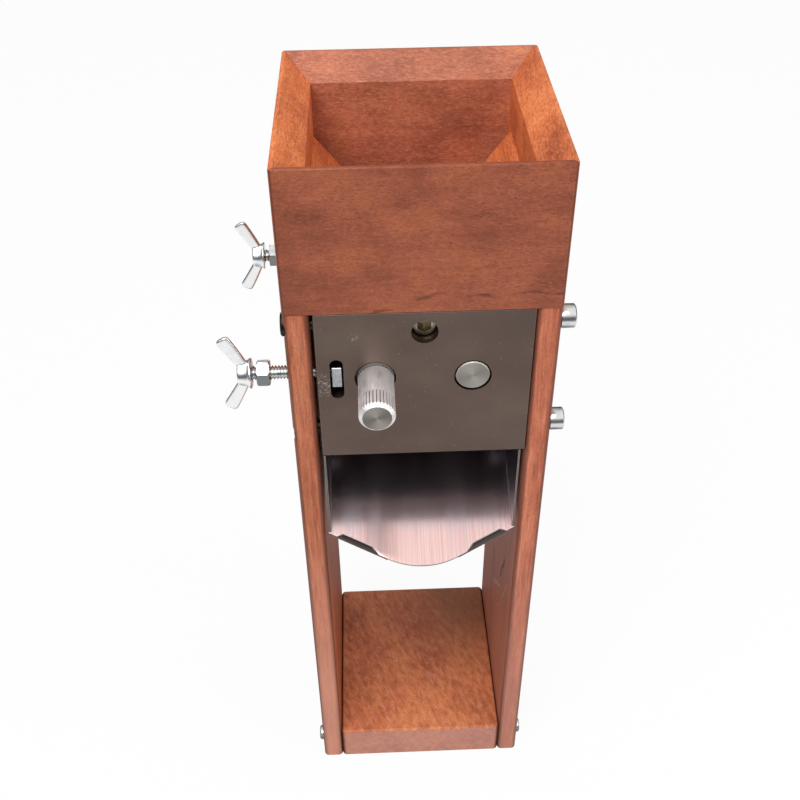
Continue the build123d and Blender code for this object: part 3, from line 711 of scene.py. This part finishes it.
class FLAKER_OT_stand(bpy.types.Operator):
    """Give the side boards and the base board their oiled wood"""

    bl_idname = "flaker.stand"
    bl_label = "Wooden stand"

    def execute(self, context):
        sawn = ("#6A3524", "#86482F", "#93523A", "#A4603F", "#45231A", "#B98468")
        left = ("#8B452E", "#A55836", "#B26443", "#BC704E", "#53271B", "#CB9378")
        right = ("#964D35", "#B05F40", "#BB6A4B", "#C97856", "#582E25", "#DCA184")
        base = ("#B2623F", "#C9734C", "#D57F50", "#DA8656", "#6F422D", "#E9B592")
        edge = oiled_hardwood("oiled_hardwood_edges", "Z", sawn, 1.7)
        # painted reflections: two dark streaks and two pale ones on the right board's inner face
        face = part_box("right_board")[0].x / MM
        wear_and_painted_streaks = [
            ((face, 13.6, 104.7), (face, 4.1, 86.1), 1.4, "#3E251D"),
            ((face, -24.8, 135.7), (face, -14.6, 110.2), 1.2, "#42281F"),
            ((face, 6.7, 82.0), (face, -18.0, 106.1), 0.8, "#BB9A8F"),
            ((face, -38.2, 131.4), (face, -14.6, 83.1), 1.2, "#A98478"),
        ]
        side = {"fleck": (12, 0.9), "streak": 0.85}
        flat = {
            "lean": -22,
            "fleck": (6.0, 2.8),
            "figured": 0.36,
            "streak": 0.3,
            "end": "#B28A84",
            # painted shade: a dark patch at the right rear of the base's top, beside the right board and
            # under the mill
            "shade_patch": ((38, 46, 20), 50),
            # painted shadow: a dark line where the base meets the boards
            "joint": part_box("base_board")[1].x / MM,
        }
        for node, name, grain, tones, shift, look in (
            ("left_board", "left_board", "Z", left, 1.0, {**side, "foot": "#E2A48F"}),
            ("right_board", "right_board", "Z", right, 2.3, {**side, "foot": "#BE8678", "lines": wear_and_painted_streaks}),
            ("base_board", "base", "Y", base, 3.1, flat),
        ):
            dress([node], oiled_hardwood(f"oiled_hardwood_{name}", grain, tones, shift, **look))
            soften(node, sizes().board_easing, edge=edge)
        return {"FINISHED"}


class FLAKER_OT_hopper(bpy.types.Operator):
    """Give the hopper's boards, its feed guides and its dowels their wood"""

    bl_idname = "flaker.hopper"
    bl_label = "Hopper"

    def execute(self, context):
        front = ("#723722", "#85432B", "#924C32", "#9F5635", "#512417", "#B17557")
        rear = ("#94533C", "#AC644A", "#BC7053", "#CD7E58", "#6A3729", "#E4A98E")
        inner = ("#AB5433", "#CC6C3F", "#E27D49", "#F49056", "#6F3622", "#FFBC8A")
        # the front board's growth lines bend round a place below it, right of the middle
        low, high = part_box("hopper_front")
        below = (0.62 * high.x / MM, low.y / MM, low.z / MM - 26)
        board = {"lean": 8, "fleck": (2.4, 0.8), "streak": 0.4}
        bent = {**board, "figured": 0.2, "rings": (below, (0.45, 1, 1), 52)}
        for node, grain, tones, shift, easing, look in (
            ("hopper_front", "X", front, 4.2, 0.25, bent),
            ("hopper_rear", "X", rear, 5.7, 0.25, board),
            ("hopper_left", "Y", inner, 6.4, 0.25, board),
            ("hopper_right", "Y", inner, 7.9, 0.25, board),
            ("feed_guide_left", "Y", inner, 8.3, 0.3, {}),
            ("feed_guide_right", "Y", inner, 9.1, 0.3, {}),
            ("feed_guide_rear", "X", inner, 9.9, 0.3, {}),
        ):
            dress([node], oiled_hardwood(f"oiled_hardwood_{node}", grain, tones, shift, **look))
            soften(node, easing)
        dress(["hopper_dowels"], beech_dowel("beech_dowel"))
        return {"FINISHED"}


class FLAKER_OT_mill(bpy.types.Operator):
    """Finish the mill plates, the rollers, the shafts and their bearings"""

    bl_idname = "flaker.mill"
    bl_label = "Mill"

    def execute(self, context):
        rim = worn_edge("deburred_edge")
        warm_dark = ("#675851", "#6E5E56", "#75675D")
        low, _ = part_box("front_plate")
        left = low.x / MM
        # nicks near the left edge at the slot's height, and a few higher up
        for node, y in (("front_plate", low.y / MM), ("rear_plate", -low.y / MM)):
            scars = [((left + 3, y, 277), 7), ((left + 16, y, 301), 2.4)]
            dress([node], blackened_steel(f"blackened_steel_{node}", warm_dark, 0.42, scars))
            soften(node, 0.22, edge=rim)
        # each shaft's side tone and its end tone; the darker ends are painted shade
        for shaft, others, side, face in (
            ("drive_shaft", ["drive_thrust_washers"], "#FBFAFA", "#78726C"),
            ("idler_shaft", ["idler_thrust_washers", "tie_rod"], "#C8C5BF", "#8F8A83"),
        ):
            low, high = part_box(shaft)
            axis = ((low.x + high.x) / 2, 0, (low.z + high.z) / 2)
            dress([shaft, *others], turned_steel(f"turned_steel_{shaft}", axis, side, face))
        soften("drive_shaft", 0.12)
        dress(["drive_roller", "idler_roller"], dark_roller_steel("hardened_roller_steel"))
        bearings = ["idler_bushes", "bearing_block_front", "bearing_block_rear"]
        dress(bearings, sintered_bronze("sintered_bronze"))
        return {"FINISHED"}


class FLAKER_OT_adjusters(bpy.types.Operator):
    """Make the wing nuts and the threaded studs of the gap adjusters, and plate their nuts"""

    bl_idname = "flaker.adjusters"
    bl_label = "Gap adjusters"

    def execute(self, context):
        cast = bright_zinc("bright_zinc_cast", 0.6, ("#E4E8EC", "#F5F6F7", "#F9F7F1"))
        rolled = bright_zinc("bright_zinc_rolled")
        # the jam nut's level and downward flats get a painted dark reflection
        locked = bright_zinc("bright_zinc_jam_nut", under="#7C8181")
        # the captive nut in the slot is given darker and duller zinc
        held = bright_zinc("dark_dull_zinc_nut", 1.0, ("#8E9095", "#A6A7AA", "#BBB9B4"))
        for end in ("front", "rear"):
            low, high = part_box(f"wing_nut_{end}")
            middle = (low + high) / 2 / MM
            wing = self.wing_nut(f"cast_wing_nut_{end}", high.x / MM, middle.y, middle.z)
            drop_into_place(wing, f"{end}_adjuster", cast, "zinc_steel", f"wing_nut_{end}")
            low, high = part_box(f"adjuster_stud_{end}")
            stud = threaded_rod(
                f"threaded_stud_{end}",
                start=low.x / MM,
                stop=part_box(f"captive_nut_{end}")[1].x / MM,
                centre=(middle.y, middle.z),
                radius=3.0,
                pitch=sizes().thread_pitch,
                depth=sizes().thread_depth,
                dog_stop=high.x / MM,
                dog_radius=1.8,
            )
            drop_into_place(stud, f"{end}_adjuster", rolled, "zinc_steel", f"adjuster_stud_{end}")
            for node, material in ((f"jam_nut_{end}", locked), (f"captive_nut_{end}", held)):
                dress([node], material)
                soften(node, 0.2)
        return {"FINISHED"}

    @staticmethod
    def wing_nut(name, base, y, z):
        """A coned hub with a countersunk bore and two splayed wings, cast in one."""
        hub = [(0, 3.1), (0, 6.1), (0.3, 6.5), (0.9, 6.4), (1.5, 5.8), (3.0, 5.3), (5.0, 5.0)]
        hub += [(5.6, 4.8), (5.9, 4.4), (5.9, 3.7), (5.4, 3.1)]
        wings = cast_wings(
            tip_up=15.4, tip_out=9.6, mid_out=1.9, neck=1.6, flare=3.0, thick_root=2.4, thick_tip=1.9
        )
        # local (out, up, across) becomes (base - out, y + across, z + up)
        parts = [(p.reshape(-1, 3) * [-1, 1, 1] + [base, z, y], f) for p, f in (revolved(hub), wings)]
        wing = merged_copy(name, [(p[:, [0, 2, 1]] * MM, f) for p, f in parts])
        skin = wing.modifiers.new("cast_as_one", "REMESH")
        skin.mode = "VOXEL"
        skin.voxel_size = 0.26 * MM
        skin.use_smooth_shade = True
        ease = wing.modifiers.new("cast_fillets", "SMOOTH")
        ease.factor = 0.5
        ease.iterations = 7
        return applied(wing)


class FLAKER_OT_fasteners(bpy.types.Operator):
    """Plate or blacken the screws"""

    bl_idname = "flaker.fasteners"
    bl_label = "Screws"

    def execute(self, context):
        plated = bright_zinc("bright_zinc_screws")
        dress(["right_plate_screws", "base_screws", "chute_screws", "chute_spacers"], plated)
        dress(["tie_rod_screws"], bright_zinc("dull_zinc_screws", 1.0, ("#7D7669", "#A0977F", "#C6BC9B")))
        dark = blackened_steel("black_oxide_screws", ("#1E1B19", "#2A2623", "#38332F"), 0.34)
        dress(["left_plate_screws"], dark)
        for node in ("right_plate_screws", "tie_rod_screws"):
            soften(node, 0.15)
        return {"FINISHED"}


class FLAKER_OT_chute(bpy.types.Operator):
    """Give the sheet chute its brushed steel"""

    bl_idname = "flaker.chute"
    bl_label = "Chute"

    def execute(self, context):
        fall = math.radians(24.0)
        dress(["chute"], brushed_stainless("brushed_stainless", fall))
        soften("chute", 0.25, edge=worn_edge("sheared_edge", "#9A9591", 0.45), flat=True)
        return {"FINISHED"}


class FLAKER_PT_panel(bpy.types.Panel):
    """The flaker's sizes and its operators"""

    bl_idname = "FLAKER_PT_panel"
    bl_label = "Grain flaker"
    bl_space_type = "VIEW_3D"
    bl_region_type = "UI"
    bl_category = "Flaker"

    def draw(self, context):
        for name in FlakerSizes.__annotations__:
            self.layout.prop(context.scene.flaker, name)
        for operator in operators:
            self.layout.operator(operator.bl_idname)


operators = (
    FLAKER_OT_stage,
    FLAKER_OT_stand,
    FLAKER_OT_hopper,
    FLAKER_OT_mill,
    FLAKER_OT_adjusters,
    FLAKER_OT_fasteners,
    FLAKER_OT_chute,
)
classes = (FlakerSizes, *operators, FLAKER_PT_panel)


def register():
    for entry in classes:
        bpy.utils.register_class(entry)
    bpy.types.Scene.flaker = bpy.props.PointerProperty(type=FlakerSizes)


def unregister():
    del bpy.types.Scene.flaker
    for entry in reversed(classes):
        bpy.utils.unregister_class(entry)


def main():
    """Registers the add-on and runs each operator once."""
    register()
    for operator in operators:
        group, name = operator.bl_idname.split(".")
        getattr(getattr(bpy.ops, group), name)()


if __name__ == "__main__":
    main()
